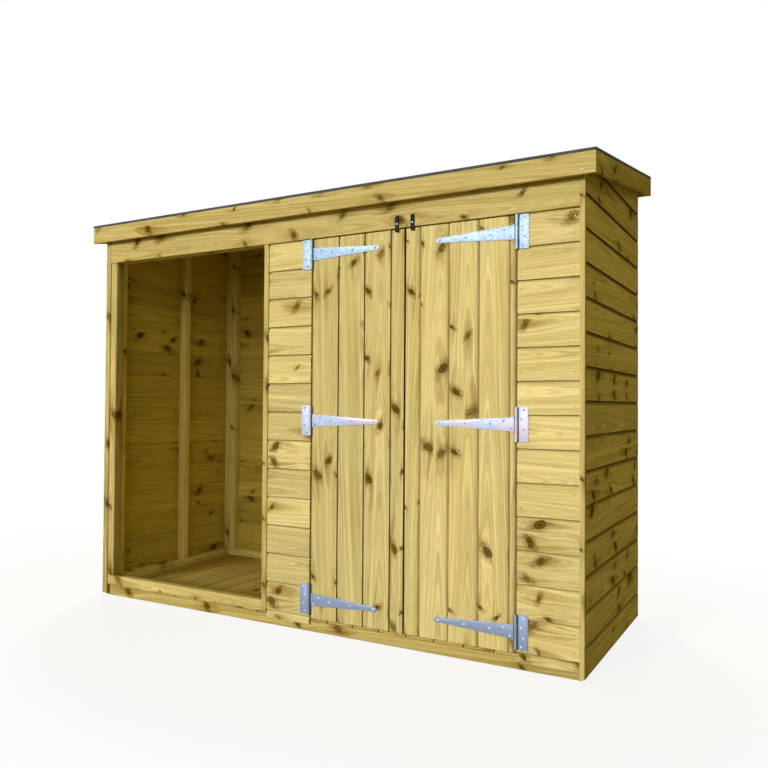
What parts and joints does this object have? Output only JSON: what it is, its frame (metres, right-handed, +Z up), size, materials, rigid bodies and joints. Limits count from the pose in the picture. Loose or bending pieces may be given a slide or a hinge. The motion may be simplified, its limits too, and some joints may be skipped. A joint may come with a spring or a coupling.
{
  "type": "log store",
  "caption": "Pent-roofed garden store of treated pine with an open log bay at the left and a closed store behind two ledged doors on strap hinges at the right",
  "frame": {"origin": "middle of the footprint at ground level", "axes": "+X along the front to the right, +Y from front to back, +Z up"},
  "size_m": [2.496, 1.026, 2.007],
  "materials": {
    "trim_boards": "planed, pressure treated",
    "cladding_boards": "planed shiplap, pressure treated",
    "frame_timber": "planed, pressure treated",
    "floor_and_roof_boards": "sawn boards, pressure treated",
    "door_boards": "planed shiplap, pressure treated",
    "roofing_felt": "mineral felt",
    "galvanised_steel": "galvanised",
    "bright_screws": "bright zinc",
    "black_buttons": "black japanned"
  },
  "bodies": {
    "store": {"bay_sill": "trim_boards", "bay_post": "trim_boards", "bay_edge_trim": "trim_boards", "left_corner_trim": "trim_boards", "right_corner_trim": "trim_boards", "front_lintel": "trim_boards", "front_fascia": "trim_boards", "rear_fascia": "trim_boards", "left_fascia": "trim_boards", "right_fascia": "trim_boards", "left_wall_cladding": "cladding_boards", "right_wall_cladding": "cladding_boards", "back_wall_cladding": "cladding_boards", "bay_wall_cladding": "cladding_boards", "middle_front_panel": "cladding_boards", "right_front_panel": "cladding_boards", "floor_bearers": "frame_timber", "left_wall_studs": "frame_timber", "left_wall_rails": "frame_timber", "right_wall_studs": "frame_timber", "right_wall_rails": "frame_timber", "back_wall_studs": "frame_timber", "back_wall_rails": "frame_timber", "bay_wall_studs": "frame_timber", "bay_wall_rails": "frame_timber", "door_jamb_studs": "frame_timber", "front_top_rail": "frame_timber", "roof_battens": "frame_timber", "floor_deck": "floor_and_roof_boards", "roof_deck": "floor_and_roof_boards", "roof_felt": "roofing_felt", "left_hinge_plates": "galvanised_steel", "right_hinge_plates": "galvanised_steel", "button_screws": "bright_screws"},
    "left_door": {"left_door_boards": "door_boards", "left_door_ledges": "frame_timber", "left_door_braces": "frame_timber", "left_hinge_straps": "galvanised_steel"},
    "right_door": {"right_door_boards": "door_boards", "right_door_ledges": "frame_timber", "right_door_braces": "frame_timber", "right_hinge_straps": "galvanised_steel"},
    "left_button": {"left_turn_button": "black_buttons"},
    "right_button": {"right_turn_button": "black_buttons"}
  },
  "joints": [
    {"name": "left_door_swing", "type": "hinge", "parent": "store", "child": "left_door", "pos_m": [0.047, -0.4708, 0.885], "axis": [0, 0, -1], "range_deg": [0, 170]},
    {"name": "right_door_swing", "type": "hinge", "parent": "store", "child": "right_door", "pos_m": [0.952, -0.4708, 0.885], "axis": [0, 0, 1], "range_deg": [0, 170]},
    {"name": "left_button_turn", "type": "hinge", "parent": "store", "child": "left_button", "pos_m": [0.4575, -0.4718, 1.669], "axis": [0, 1, 0], "range_deg": [0, 90]},
    {"name": "right_button_turn", "type": "hinge", "parent": "store", "child": "right_button", "pos_m": [0.5265, -0.4718, 1.669], "axis": [0, -1, 0], "range_deg": [0, 90]}
  ]
}
